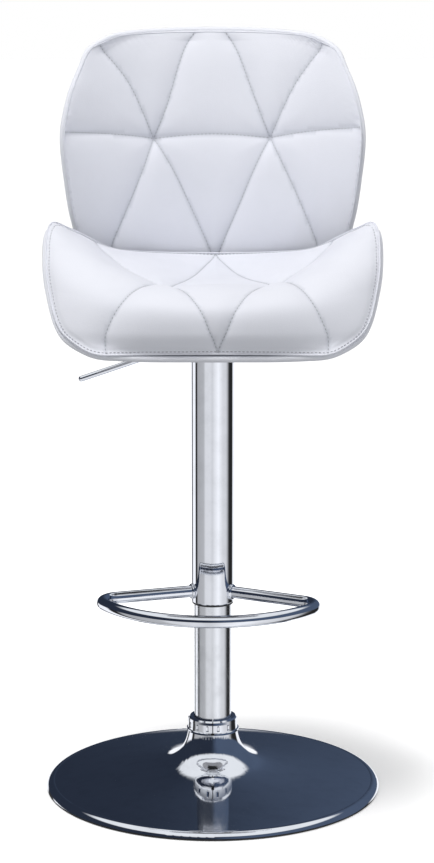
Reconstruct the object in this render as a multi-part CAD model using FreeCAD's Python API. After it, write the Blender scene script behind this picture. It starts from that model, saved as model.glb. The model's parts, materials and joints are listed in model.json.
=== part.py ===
"""Height-adjustable swivel stool with a quilted bucket seat, backrest and footrest.

Frame: millimetres. The origin is on the floor, on the axis of the column.
+Z is up, the sitter faces -Y, and +X is to the right seen from the front.
"""
import FreeCAD, Part
import math
import os

from FreeCAD import Vector

os.makedirs("parts", exist_ok=True)

# ---------------------------------------------------------------- driving dimensions
BASE_RADIUS = 225.0
BASE_SKIN = 1.6            # sheet thickness of the trumpet base
NECK_RADIUS = 33.0         # outside of the trumpet's neck
NECK_TOP = 79.0            # the neck ends under the collar
COLLAR_TOP = 98.0
# trumpet base from the neck to the rolled rim: radius, height, slope in degrees
TRUMPET_PROFILE = [
    (NECK_RADIUS, NECK_TOP, 90),
    (35, 68, 77),
    (40, 56, 58),
    (50, 44.5, 40),
    (64, 36, 23),
    (80, 31.5, 13),
    (110, 26, 9),
    (165, 18, 8.5),
    (214, 10.5, 0),
]
COLUMN_RADIUS = 25.0
COLUMN_WALL = 1.5
COLUMN_FOOT = 8.0          # lower end of the column above the floor
COLUMN_TOP = 390.0
ROD_RADIUS = 5.0
PISTON_LOW = 325.0
PISTON_HIGH = 341.0
CYLINDER_RADIUS = 14.0
CYLINDER_WALL = 1.3
CYLINDER_LOW = 230.0
CYLINDER_TOP = 594.0
COVER_RADIUS = 28.5
COVER_WALL = 1.2
COVER_LOW = 258.0
COVER_TOP = 588.0
RUNNING_GAP = 0.1          # radial clearance of a running fit
LOOSE_GAP = 0.3            # clearance between neighbours that only pass each other

FOOTREST_HEIGHT = 273.0
FOOTREST_REACH = 162.0     # radius of the front arc, measured to the tube's centre
FOOTREST_TUBE = 8.0
FOOTREST_BORE = 6.5
FOOTREST_SPREAD = 23.0     # degrees that each arm points forward of sideways
FOOTREST_CORNER = 25.0
FOOTREST_TURN = -4.5       # degrees that the sleeve sits round from square with the seat

SHELL_BOTTOM = 616.5       # flat underside of the seat shell
SHELL_THICKNESS = 8.0
PAD_GAP = 0.4              # clearance between a pad and its shell
PAD_EDGE = 3.0             # thickness of a pad along its stitched edge

PLATE_TOP = SHELL_BOTTOM - 0.3
PLATE_SHEET = 3.0
PLATE_HALF_X = 70.0
PLATE_HALF_Y = 85.0
PAN_HALF_X = 48.0
PAN_HALF_Y = 42.0
PAN_FLOOR = 590.0
BOLT_X = 58.0
BOLT_Y = 70.0
BOLT_RADIUS = 3.0

LEVER_RADIUS = 4.0
LEVER_PIVOT_X = -38.0
LEVER_HEIGHT = 603.2       # centre of the lever inside the pan
PIN_RADIUS = 3.0
BUTTON_RADIUS = 4.0
BUTTON_TOP = 598.6

BRACKET_X = 52.0
BRACKET_WIDTH = 30.0
BRACKET_SHEET = 4.0
BRACKET_BEND = 22.0        # outer radius of the bend behind the seat
BRACKET_FRONT = 90.0
BRACKET_KNEE = 154.0       # where the flat leg under the seat starts to bend up
BRACKET_TOP = 810.0
BRACKET_LEAN = 0.125       # backward run of the upright leg for each unit of rise

# Seat shell, lower surface, from the front edge to the back edge. Each station holds the
# middle's y and z, then the rim's y, z and half-width. The rim rises to the wing tips.
SEAT_SHELL_STATIONS = [
    (-200, 616.5, -186, 617.5, 151),
    (-172, 616.5, -158, 642, 192),
    (-140, 616.5, -116, 690, 213),
    (-104, 616.5, -80, 734, 220.5),
    (-62, 616.5, -45, 767, 217.5),
    (-5, 616.5, -10, 757, 197),
    (50, 616.5, 30, 740, 174),
    (98, 617.5, 66, 725, 155),
    (136, 622, 102, 714, 135),
]
# Middle line of the seat pad's upper surface: the front face, the roll, the sitting area.
SEAT_PAD_MIDDLE = [
    (-200, 627.5),
    (-208, 655),
    (-197, 686),
    (-152, 700),
    (-90, 698),
    (-20, 692),
    (50, 693),
    (104, 700),
    (134, 708),
]
SEAT_FLAT = 0.38           # share of the half-width over which the shell stays flat
SEAT_SHELL_CURVE = 2.0
SEAT_PAD_CURVE = 2.6

# Back shell, rear surface, from the lower edge to the top, in the same columns.
BACK_SHELL_STATIONS = [
    (176, 668, 138, 682, 128),
    (183, 712, 106, 714, 176),
    (189, 760, 90, 757, 192),
    (196, 815, 86, 812, 201),
    (203, 870, 91, 872, 206),
    (210, 922, 110, 921, 197),
    (216, 962, 134, 956, 183),
    (219, 988, 154, 983, 169),
    (221, 1004, 172, 1000, 142),
]
BACK_PAD_MIDDLE = [
    (146, 670),
    (143, 712),
    (144, 760),
    (150, 815),
    (162, 870),
    (177, 922),
    (190, 962),
    (200, 986),
    (207, 1001),
]
BACK_FLAT = 0.0
BACK_SHELL_CURVE = 2.3
BACK_PAD_CURVE = 2.3

GRID_ACROSS = 33           # points of a lofted surface across the seat
GRID_ALONG = 25            # and along it


# ---------------------------------------------------------------- general helpers
def save(shape, node):
    """Writes one sub-part."""
    shape.exportStep("parts/" + node + ".step")
    print(node, "solids", len(shape.Solids), "valid", shape.isValid(), "cm3", round(shape.Volume / 1000, 1))


def disc(radius, low, high):
    """Solid cylinder on the column's axis."""
    return Part.makeCylinder(radius, high - low, Vector(0, 0, low))


def ring(outer, inner, low, high):
    """Tube on the column's axis."""
    return disc(outer, low, high).cut(disc(inner, low - 1, high + 1))


def block(low, high):
    """Box between two opposite corners."""
    size = Vector(*high) - Vector(*low)
    return Part.makeBox(size.x, size.y, size.z, Vector(*low))


def pin(start, end, radius):
    """Cylinder between two points."""
    axis = Vector(*end) - Vector(*start)
    return Part.makeCylinder(radius, axis.Length, Vector(*start), axis)


def turned(profile):
    """Solid of revolution from a closed outline of (radius, height) corners."""
    points = [Vector(radius, 0, height) for radius, height in profile]
    face = Part.Face(Part.makePolygon(points + points[:1]))
    return face.revolve(Vector(), Vector(0, 0, 1), 360)


def corners(half_x, half_y):
    """The four corners of a rectangle round the axis."""
    return [(x, y) for x in (-half_x, half_x) for y in (-half_y, half_y)]


def rounded_block(half_x, half_y, low, high, radius):
    """Upright block centred on the axis, with rounded vertical edges."""
    body = block((-half_x, -half_y, low), (half_x, half_y, high))
    upright = [edge for edge in body.Edges if abs(edge.tangentAt(edge.FirstParameter).z) > 0.9]
    return body.makeFillet(radius, upright)


# ---------------------------------------------------------------- base and column
def trumpet_outline(inset):
    """Spline from the neck's top out to the rim, moved inwards by the sheet's thickness."""
    points = []
    for radius, height, slope in TRUMPET_PROFILE:
        lean = math.radians(slope)
        points.append(Vector(radius - inset * math.sin(lean), 0, height - inset * math.cos(lean)))
    curve = Part.BSplineCurve()
    curve.interpolate(points)
    return curve.toShape()


def base_dish():
    """Spun sheet-metal trumpet with a rolled rim."""
    outside = trumpet_outline(0)
    inside = trumpet_outline(BASE_SKIN)
    rim_out = Part.Arc(Vector(214, 0, 10.5), Vector(221.5, 0, 8.6), Vector(BASE_RADIUS, 0, 3.2)).toShape()
    rim_in = Part.Arc(
        Vector(214, 0, 10.5 - BASE_SKIN),
        Vector(220.4, 0, 7.4),
        Vector(BASE_RADIUS - BASE_SKIN, 0, 3.2),
    ).toShape()
    foot = Part.makeLine(rim_out.Vertexes[-1].Point, rim_in.Vertexes[-1].Point)
    neck = Part.makeLine(Vector(NECK_RADIUS, 0, NECK_TOP), Vector(NECK_RADIUS - BASE_SKIN, 0, NECK_TOP))
    outline = Part.Wire(Part.__sortEdges__([outside, rim_out, foot, rim_in, inside, neck]))
    return Part.Face(outline).revolve(Vector(), Vector(0, 0, 1), 360)


def base_socket():
    """Sleeve that holds the column, flared at its foot where it is welded to the ballast."""
    tube = ring(COLUMN_RADIUS + 4.2, COLUMN_RADIUS + 0.2, 5.2, COLLAR_TOP - 3)
    flange = ring(48, COLUMN_RADIUS + 0.2, 5.2, 9.2)
    neck_ring = ring(NECK_RADIUS - BASE_SKIN - 0.1, COLUMN_RADIUS + 4.2, NECK_TOP - 6, NECK_TOP)
    return tube.fuse([flange, neck_ring]).removeSplitter()


def base_ballast():
    """Flat steel plate that keeps the stool upright."""
    return ring(205, 18, 1.2, 5.2)


def base_floor_ring():
    """Rubber ring under the rim; its flat underside is what stands on the floor."""
    return turned([(207, 0), (223, 0), (BASE_RADIUS - 0.6, 0.8), (BASE_RADIUS - 0.6, 3.0), (207, 3.0)])


def base_collar():
    """Split chrome ring that closes the neck round the column, with upright dimples."""
    profile = turned([
        (COLUMN_RADIUS + 4.5, NECK_TOP),
        (35.0, NECK_TOP),
        (35.4, NECK_TOP + 1.0),
        (35.0, NECK_TOP + 2.6),
        (33.4, NECK_TOP + 3.4),
        (32.8, NECK_TOP + 13.5),
        (32.2, NECK_TOP + 17.0),
        (30.6, COLLAR_TOP),
        (COLUMN_RADIUS + 0.6, COLLAR_TOP),
        (COLUMN_RADIUS + 0.6, COLLAR_TOP - 2.6),
        (COLUMN_RADIUS + 4.5, COLLAR_TOP - 2.6),
    ])
    dimple_count = 14
    dimple_height = NECK_TOP + 9
    cutters = []
    for index in range(dimple_count):
        angle = math.radians(-90 + (index + 0.5) * 360 / dimple_count)
        reach = 34.6
        middle = Vector(reach * math.cos(angle), reach * math.sin(angle), 0)
        low = middle + Vector(0, 0, dimple_height - 2.4)
        high = middle + Vector(0, 0, dimple_height + 2.4)
        slot = Part.makeCylinder(2.4, 4.8, low)
        cutters.append(slot.fuse([Part.makeSphere(2.4, low), Part.makeSphere(2.4, high)]))
    slit = block((-0.6, -40, NECK_TOP - 1), (0.6, -COLUMN_RADIUS, COLLAR_TOP + 1))
    notch = block((-2.2, -40, NECK_TOP - 1), (2.2, -COLUMN_RADIUS - 4, NECK_TOP + 3.4))
    return profile.cut(cutters + [slit, notch])


def column_tube():
    """Outer tube of the gas lift; its lower end tapers into the socket."""
    inner = COLUMN_RADIUS - COLUMN_WALL
    return turned([
        (COLUMN_RADIUS - 0.8, COLUMN_FOOT),
        (COLUMN_RADIUS, COLUMN_FOOT + 60),
        (COLUMN_RADIUS, COLUMN_TOP - 1),
        (COLUMN_RADIUS - 0.6, COLUMN_TOP),
        (inner, COLUMN_TOP),
        (inner, COLUMN_FOOT + 60),
        (inner - 0.8, COLUMN_FOOT),
    ])


def column_foot():
    """Disc pressed into the column's lower end; the piston rod hangs in its hole."""
    return ring(COLUMN_RADIUS - COLUMN_WALL - 0.9, ROD_RADIUS + RUNNING_GAP, 12, 18)


def column_guide_bush():
    """Long plastic bush that guides the gas cylinder in the column's top."""
    body = ring(COLUMN_RADIUS - COLUMN_WALL - 0.05, CYLINDER_RADIUS + RUNNING_GAP, 300, COLUMN_TOP - 0.5)
    relief = ring(CYLINDER_RADIUS + 2.2, CYLINDER_RADIUS, 325, 365)
    return body.cut(relief)


def thrust_washer_lower():
    """Fixed race of the swivel bearing."""
    return ring(14, ROD_RADIUS + RUNNING_GAP, 18, 20)


def thrust_balls():
    """Balls of the swivel bearing, spread evenly round the rod."""
    count = 10
    balls = []
    for index in range(count):
        angle = 2 * math.pi * index / count
        balls.append(Part.makeSphere(1.95, Vector(10 * math.cos(angle), 10 * math.sin(angle), 22)))
    return Part.makeCompound(balls)


# ---------------------------------------------------------------- piston rod (turns in the column)
def piston_rod():
    """Rod that stands in the column's foot and carries the piston."""
    shaft = disc(ROD_RADIUS, 7.5, PISTON_HIGH + 4)
    groove = ring(ROD_RADIUS + 1, ROD_RADIUS - 0.8, 9.0, 10.4)
    return shaft.cut(groove)


def rod_clip():
    """Spring clip in the rod's groove, under the column's foot."""
    clip = ring(9.5, ROD_RADIUS - 0.8, 9.05, 10.35)
    return clip.cut(block((-3, 0, 8), (3, 12, 11)))


def thrust_washer_upper():
    """Turning race of the swivel bearing."""
    return ring(14, ROD_RADIUS, 24, 26)


def bump_stop():
    """Rubber buffer that meets the gas cylinder at the lowest seat height."""
    return turned([(ROD_RADIUS, 26), (13, 26), (12, 33), (13, 40), (11, 47), (ROD_RADIUS, 47)])


def piston_head():
    """Piston inside the gas cylinder, with a groove for its seal."""
    body = ring(CYLINDER_RADIUS - CYLINDER_WALL - LOOSE_GAP, ROD_RADIUS, PISTON_LOW, PISTON_HIGH)
    return body.cut(ring(20, 10.6, PISTON_LOW + 6, PISTON_LOW + 10))


# ---------------------------------------------------------------- sliding sleeve and footrest
def gas_cylinder():
    """Cylinder that slides in the guide bush; the valve sits in its closed top."""
    bore = CYLINDER_RADIUS - CYLINDER_WALL
    body = disc(CYLINDER_RADIUS, CYLINDER_LOW, CYLINDER_TOP)
    body = body.cut(disc(bore, CYLINDER_LOW - 1, CYLINDER_TOP - 10))
    return body.cut(disc(BUTTON_RADIUS + RUNNING_GAP, CYLINDER_TOP - 11, CYLINDER_TOP + 1))


def cylinder_gland():
    """Seal block that closes the cylinder round the rod."""
    return ring(CYLINDER_RADIUS - CYLINDER_WALL, ROD_RADIUS + RUNNING_GAP, CYLINDER_LOW + 1, CYLINDER_LOW + 21)


def cover_tube():
    """Chrome sleeve that hangs from the seat mount and hides the gas lift."""
    inner = COVER_RADIUS - COVER_WALL
    return turned([
        (inner, COVER_LOW),
        (COVER_RADIUS - 0.7, COVER_LOW),
        (COVER_RADIUS, COVER_LOW + 0.9),
        (COVER_RADIUS, COVER_TOP),
        (inner, COVER_TOP),
    ])


def cover_cap():
    """Disc welded inside the sleeve and pressed on the cylinder under the hub."""
    return ring(COVER_RADIUS - COVER_WALL, CYLINDER_RADIUS, 549, 553)


def cover_bush():
    """Black plastic guide in the sleeve's lower end; its flange shows below the chrome."""
    bore = COLUMN_RADIUS + LOOSE_GAP
    return turned([
        (bore, COVER_LOW - 2.6),
        (COVER_RADIUS - 1.2, COVER_LOW - 2.6),
        (COVER_RADIUS - 0.8, COVER_LOW - 2.0),
        (COVER_RADIUS - 0.8, COVER_LOW),
        (COVER_RADIUS - COVER_WALL, COVER_LOW),
        (COVER_RADIUS - COVER_WALL, COVER_LOW + 30),
        (bore, COVER_LOW + 30),
    ])


def footrest_path():
    """Centre line of the footrest: arm, corner, front arc, corner, arm, in one plane.

    Each arm is a radius of the front arc's circle, so a corner is an arc that touches
    both the arm and the circle. Its centre is one corner radius from the arm.
    """
    offset = math.asin(FOOTREST_CORNER / (FOOTREST_REACH - FOOTREST_CORNER))

    def polar(radius, angle):
        return Vector(radius * math.cos(angle), radius * math.sin(angle), FOOTREST_HEIGHT)

    def half(side):
        """Points of one side, from the sleeve to the front arc; side is -1 or +1."""
        arm = math.radians(-90 + side * (90 - FOOTREST_SPREAD))
        centre = polar(FOOTREST_REACH - FOOTREST_CORNER, arm - side * offset)
        touch_arm = polar((FOOTREST_REACH - FOOTREST_CORNER) * math.cos(offset), arm)
        touch_arc = polar(FOOTREST_REACH, arm - side * offset)
        outward = ((touch_arm - centre) + (touch_arc - centre)).normalize()
        return polar(COVER_RADIUS - 2, arm), touch_arm, centre + outward * FOOTREST_CORNER, touch_arc

    left = half(-1)
    right = half(1)
    front = polar(FOOTREST_REACH, -math.pi / 2)
    edges = [
        Part.makeLine(left[0], left[1]),
        Part.Arc(left[1], left[2], left[3]).toShape(),
        Part.Arc(left[3], front, right[3]).toShape(),
        Part.Arc(right[3], right[2], right[1]).toShape(),
        Part.makeLine(right[1], right[0]),
    ]
    return Part.Wire(edges), left[0], left[1]


def set_round(shape):
    """Turns a footrest piece to where the sleeve sits on the column."""
    shape.rotate(Vector(), Vector(0, 0, 1), FOOTREST_TURN)
    return shape


def footrest_ring():
    """Chrome tube bent to a D and butted against both sides of the sleeve."""
    path, start, touch = footrest_path()
    along = touch - start

    def swept(radius):
        section = Part.Wire(Part.makeCircle(radius, start, along))
        return path.makePipeShell([section], True, False)

    tube = swept(FOOTREST_TUBE).cut(swept(FOOTREST_BORE))
    return set_round(tube.cut(disc(COVER_RADIUS, FOOTREST_HEIGHT - 20, FOOTREST_HEIGHT + 20)))


def footrest_welds():
    """Weld bead round each arm where it meets the sleeve."""
    beads = []
    for side in (-1, 1):
        arm = math.radians(-90 + side * (90 - FOOTREST_SPREAD))
        along = Vector(math.cos(arm), math.sin(arm), 0)
        middle = along * (COVER_RADIUS + 1.0) + Vector(0, 0, FOOTREST_HEIGHT)
        bead = Part.makeTorus(FOOTREST_TUBE + 0.3, 2.1, middle, along)
        arm_rod = Part.makeCylinder(FOOTREST_TUBE, 20, middle - along * 10, along)
        sleeve = disc(COVER_RADIUS, FOOTREST_HEIGHT - 20, FOOTREST_HEIGHT + 20)
        beads.append(bead.cut([arm_rod, sleeve]))
    return set_round(Part.makeCompound(beads))


# ---------------------------------------------------------------- seat mount and height lever
def seat_plate():
    """Pressed plate: a bolted flange with a pan that houses the lever."""
    flange = rounded_block(PLATE_HALF_X, PLATE_HALF_Y, PLATE_TOP - PLATE_SHEET, PLATE_TOP, 14)
    pan = rounded_block(PAN_HALF_X, PAN_HALF_Y, PAN_FLOOR, PLATE_TOP, 10)
    hollow = rounded_block(PAN_HALF_X - PLATE_SHEET, PAN_HALF_Y - PLATE_SHEET, PAN_FLOOR + PLATE_SHEET, 640, 8)
    slot = block((-PAN_HALF_X - 1, -6.5, 595), (-PAN_HALF_X + 8, 6.5, 612))
    bore = disc(CYLINDER_RADIUS, PAN_FLOOR - 1, PAN_FLOOR + 10)
    holes = [pin((x, y, 600), (x, y, 630), BOLT_RADIUS + 0.4) for x, y in corners(BOLT_X, BOLT_Y)]
    return flange.fuse(pan).cut([hollow, slot, bore] + holes).removeSplitter()


def plate_hub():
    """Socket under the plate that takes the end of the gas cylinder."""
    return turned([
        (CYLINDER_RADIUS, 553),
        (19.5, 553),
        (20.5, 554),
        (20.5, 580),
        (24.0, 589),
        (24.0, PAN_FLOOR),
        (CYLINDER_RADIUS, PAN_FLOOR),
    ])


def lever_ears():
    """Two lugs on the pan's floor that hold the lever's pivot pin."""
    lugs = []
    for side in (-1, 1):
        near = side * 5.5
        far = side * 8.5
        low = (LEVER_PIVOT_X - 6, min(near, far), PAN_FLOOR + PLATE_SHEET)
        high = (LEVER_PIVOT_X + 6, max(near, far), LEVER_HEIGHT + 6)
        lugs.append(block(low, high))
    bore = pin((LEVER_PIVOT_X, -12, LEVER_HEIGHT), (LEVER_PIVOT_X, 12, LEVER_HEIGHT), PIN_RADIUS)
    return Part.makeCompound([lug.cut(bore) for lug in lugs])


def lever_pin():
    """Pivot pin of the lever, headed outside each lug."""
    shaft = pin((LEVER_PIVOT_X, -9.6, LEVER_HEIGHT), (LEVER_PIVOT_X, 9.6, LEVER_HEIGHT), PIN_RADIUS)
    heads = []
    for near, far in ((-10.4, -8.5), (8.5, 10.4)):
        heads.append(pin((LEVER_PIVOT_X, near, LEVER_HEIGHT), (LEVER_PIVOT_X, far, LEVER_HEIGHT), 4.6))
    return shaft.fuse(heads).removeSplitter()


def lever_rod():
    """Bent chrome lever: a flat tongue over the valve, a pivot eye and a flattened handle."""
    bend_in = Vector(-66, 0, LEVER_HEIGHT - 4)
    bend_out = Vector(-92, 0, 587)
    tip = Vector(-173, 0, 559.5)
    eye = Vector(LEVER_PIVOT_X, 0, LEVER_HEIGHT)
    route = [eye, bend_in, bend_out, tip]
    pieces = []
    for start, end in zip(route, route[1:]):
        pieces.append(pin(tuple(start), tuple(end), LEVER_RADIUS))
    for joint in (bend_in, bend_out, tip):
        pieces.append(Part.makeSphere(LEVER_RADIUS, joint))
    tongue = block((LEVER_PIVOT_X, -4.5, LEVER_HEIGHT - 4.2), (9, 4.5, LEVER_HEIGHT + 2.2))
    boss = pin((LEVER_PIVOT_X, -5.2, LEVER_HEIGHT), (LEVER_PIVOT_X, 5.2, LEVER_HEIGHT), 6.2)
    body = pieces[0].fuse(pieces[1:] + [tongue, boss]).removeSplitter()
    bore = pin((LEVER_PIVOT_X, -12, LEVER_HEIGHT), (LEVER_PIVOT_X, 12, LEVER_HEIGHT), PIN_RADIUS + RUNNING_GAP)
    return body.cut(bore)


def valve_button():
    """Domed pin in the cylinder's top that releases the gas spring."""
    stem = disc(BUTTON_RADIUS, CYLINDER_TOP - 7, BUTTON_TOP)
    dome = Part.makeSphere(9.0, Vector(0, 0, BUTTON_TOP - 9.0))
    return stem.common(dome.fuse(disc(9.0, 500, BUTTON_TOP - 3)))


def seat_bolts():
    """Hexagon bolts through the plate into the tee nuts."""
    bolts = []
    for x, y in corners(BOLT_X, BOLT_Y):
        shank = pin((x, y, PLATE_TOP - PLATE_SHEET - 1.6), (x, y, SHELL_BOTTOM + 7.5), BOLT_RADIUS)
        head_top = PLATE_TOP - PLATE_SHEET - 1.6
        points = [
            Vector(x + 5.6 * math.cos(k * math.pi / 3), y + 5.6 * math.sin(k * math.pi / 3), head_top - 4)
            for k in range(7)
        ]
        head = Part.Face(Part.makePolygon(points)).extrude(Vector(0, 0, 4))
        bolts.append(shank.fuse(head).removeSplitter())
    return Part.makeCompound(bolts)


def seat_washers():
    """Flat washers under the bolt heads."""
    high = PLATE_TOP - PLATE_SHEET
    washers = []
    for x, y in corners(BOLT_X, BOLT_Y):
        outside = pin((x, y, high - 1.6), (x, y, high), 7)
        washers.append(outside.cut(pin((x, y, high - 2), (x, y, high + 1), BOLT_RADIUS + 0.2)))
    return Part.makeCompound(washers)


def tee_nut_solids(inset):
    """Tee nuts in the seat shell; inset grows them to make their pockets."""
    nuts = []
    for x, y in corners(BOLT_X, BOLT_Y):
        low = SHELL_BOTTOM - 0.1
        barrel = pin((x, y, low), (x, y, SHELL_BOTTOM + SHELL_THICKNESS + 1), 4 + inset)
        flange_low = SHELL_BOTTOM + SHELL_THICKNESS + 0.2
        flange = pin((x, y, flange_low - inset), (x, y, flange_low + 1.4 + inset), 9 + inset)
        nuts.append(barrel.fuse(flange).removeSplitter())
    return nuts


def tee_nuts():
    """Threaded inserts that the seat bolts screw into."""
    nuts = []
    for (x, y), nut in zip(corners(BOLT_X, BOLT_Y), tee_nut_solids(0)):
        nuts.append(nut.cut(pin((x, y, 600), (x, y, 640), BOLT_RADIUS)))
    return Part.makeCompound(nuts)


# ---------------------------------------------------------------- lofted seat and back
def through(stations, along):
    """Smooth value of every column at a place from 0 (first station) to 1 (last).

    Catmull-Rom: a cubic between two stations whose end slopes are half the difference
    of each station's neighbours, so it passes through every station.
    """
    last = len(stations) - 1
    place = along * last
    index = min(int(place), last - 1)
    t = place - index
    before = stations[index - 1] if index > 0 else None
    start = stations[index]
    end = stations[index + 1]
    after = stations[index + 2] if index + 2 <= last else None
    values = []
    for column in range(len(start)):
        p1 = start[column]
        p2 = end[column]
        p0 = before[column] if before else 2 * p1 - p2
        p3 = after[column] if after else 2 * p2 - p1
        slope_1 = (p2 - p0) / 2
        slope_2 = (p3 - p1) / 2
        a = 2 * p1 - 2 * p2 + slope_1 + slope_2
        b = 3 * p2 - 3 * p1 - 2 * slope_1 - slope_2
        values.append(((a * t + b) * t + slope_1) * t + p1)
    return values


def rise(across, flat, power):
    """0 in the flat middle, then growing as a power to 1 at the rim."""
    beyond = max(0.0, abs(across) - flat) / (1 - flat)
    return beyond ** power


def shell_point(stations, flat, power, across, along):
    """Point of a shell's outer surface: across runs -1 to 1, along runs 0 to 1."""
    mid_y, mid_z, rim_y, rim_z, half = through(stations, along)
    share = rise(across, flat, power)
    return Vector(half * across, mid_y + (rim_y - mid_y) * share, mid_z + (rim_z - mid_z) * share)


def shell_offset(stations, flat, power, across, along, distance):
    """Point moved off the shell's outer surface towards the sitter."""
    step = 0.004
    a0 = max(-1.0, across - step)
    a1 = min(1.0, across + step)
    v0 = max(0.0, along - step)
    v1 = min(1.0, along + step)
    sideways = shell_point(stations, flat, power, a1, along) - shell_point(stations, flat, power, a0, along)
    lengthways = shell_point(stations, flat, power, across, v1) - shell_point(stations, flat, power, across, v0)
    normal = sideways.cross(lengthways).normalize()
    return shell_point(stations, flat, power, across, along) + normal * distance


def surface(place):
    """B-spline surface through a grid of points place(across, along)."""
    rows = []
    for i in range(GRID_ALONG):
        row = []
        for j in range(GRID_ACROSS):
            row.append(place(-1 + 2 * j / (GRID_ACROSS - 1), i / (GRID_ALONG - 1)))
        rows.append(row)
    sheet = Part.BSplineSurface()
    sheet.interpolate(rows)
    return sheet


def slab(place_a, place_b):
    """Closed solid between two surfaces, joined by ruled strips along their borders."""
    first = surface(place_a)
    second = surface(place_b)
    faces = [first.toShape(), second.toShape()]
    for borders in (
        (first.uIso(0), second.uIso(0)),
        (first.uIso(1), second.uIso(1)),
        (first.vIso(0), second.vIso(0)),
        (first.vIso(1), second.vIso(1)),
    ):
        faces.append(Part.makeRuledSurface(borders[0].toShape(), borders[1].toShape()))
    sewn = Part.makeShell(faces)
    sewn.sewShape()
    solid = Part.makeSolid(Part.Shell(sewn.Faces))
    if solid.Volume < 0:
        solid.reverse()
    return solid


def shell_solid(stations, flat, power):
    """Bent plywood shell of even thickness."""
    return slab(
        lambda across, along: shell_point(stations, flat, power, across, along),
        lambda across, along: shell_offset(stations, flat, power, across, along, SHELL_THICKNESS),
    )


def pad_solid(stations, flat, power, middle_line, pad_power):
    """Pad on a shell: its back follows the shell, its front bulges to the middle line."""
    clearance = SHELL_THICKNESS + PAD_GAP

    def back(across, along):
        return shell_offset(stations, flat, power, across, along, clearance)

    def front(across, along):
        mid_y, mid_z = through(middle_line, along)
        rim = shell_offset(stations, flat, power, 1.0, along, clearance + PAD_EDGE)
        share = rise(across, 0.0, pad_power)
        return Vector(rim.x * across, mid_y + (rim.y - mid_y) * share, mid_z + (rim.z - mid_z) * share)

    return slab(back, front)


SEAT_SHAPE = (SEAT_SHELL_STATIONS, SEAT_FLAT, SEAT_SHELL_CURVE)
BACK_SHAPE = (BACK_SHELL_STATIONS, BACK_FLAT, BACK_SHELL_CURVE)


# ---------------------------------------------------------------- back brackets and screws
def bracket_rear(height):
    """How far back the outer face of the upright leg is at a height."""
    bend_top = SHELL_BOTTOM - 0.6 - BRACKET_SHEET + BRACKET_BEND
    return BRACKET_KNEE + BRACKET_BEND + (height - bend_top) * BRACKET_LEAN


def bracket(side):
    """Bent flat bar that joins the back shell to the seat shell."""
    x = side * BRACKET_X - BRACKET_WIDTH / 2
    leg_top = SHELL_BOTTOM - 0.6
    leg_low = leg_top - BRACKET_SHEET
    bend_top = leg_low + BRACKET_BEND
    inner_bend = BRACKET_BEND - BRACKET_SHEET
    half_turn = math.sqrt(0.5)
    centre = Vector(x, BRACKET_KNEE, bend_top)

    def on_bend(radius, run, drop):
        return centre + Vector(0, run * radius, -drop * radius)

    upright = Vector(0, BRACKET_LEAN, 1).normalize()
    square_to_upright = Vector(0, upright.z, -upright.y)
    top = Vector(x, bracket_rear(BRACKET_TOP), BRACKET_TOP)
    outer = [Vector(x, BRACKET_FRONT, leg_low), on_bend(BRACKET_BEND, 0, 1), on_bend(BRACKET_BEND, 1, 0), top]
    inner = [
        top - square_to_upright * BRACKET_SHEET,
        on_bend(inner_bend, 1, 0),
        on_bend(inner_bend, 0, 1),
        Vector(x, BRACKET_FRONT, leg_top),
    ]
    edges = [
        Part.makeLine(outer[0], outer[1]),
        Part.Arc(outer[1], on_bend(BRACKET_BEND, half_turn, half_turn), outer[2]).toShape(),
        Part.makeLine(outer[2], outer[3]),
        Part.makeLine(outer[3], inner[0]),
        Part.makeLine(inner[0], inner[1]),
        Part.Arc(inner[1], on_bend(inner_bend, half_turn, half_turn), inner[2]).toShape(),
        Part.makeLine(inner[2], inner[3]),
        Part.makeLine(inner[3], outer[0]),
    ]
    bar = Part.Face(Part.Wire(edges)).extrude(Vector(BRACKET_WIDTH, 0, 0))
    for seat_point, direction in bracket_screw_axes(side):
        hole = Part.makeCylinder(2.5, 24, seat_point - direction * 12, direction)
        bar = bar.cut(hole)
    return bar


def bracket_screw_axes(side):
    """Head seats and directions of one bracket's four screws: two up, two forward."""
    x = side * BRACKET_X
    leg_low = SHELL_BOTTOM - 0.6 - BRACKET_SHEET
    axes = [(Vector(x, y, leg_low), Vector(0, 0, 1)) for y in (101.0, 125.0)]
    forward = Vector(0, -1, BRACKET_LEAN).normalize()
    for height in (748.0, 790.0):
        axes.append((Vector(x, bracket_rear(height), height), forward))
    return axes


def screws(part, radius_growth):
    """Screws of both brackets into the seat (part 0) or the back (part 1)."""
    group = []
    for side in (-1, 1):
        for seat_point, direction in bracket_screw_axes(side)[2 * part:2 * part + 2]:
            length = 11.0 if part == 0 else 14.0
            shank = Part.makeCylinder(2.4 + radius_growth, length + radius_growth, seat_point, direction)
            head = Part.makeCylinder(4.6, 2.6, seat_point - direction * 2.6, direction)
            group.append(shank if radius_growth else shank.fuse(head).removeSplitter())
    return group


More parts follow.
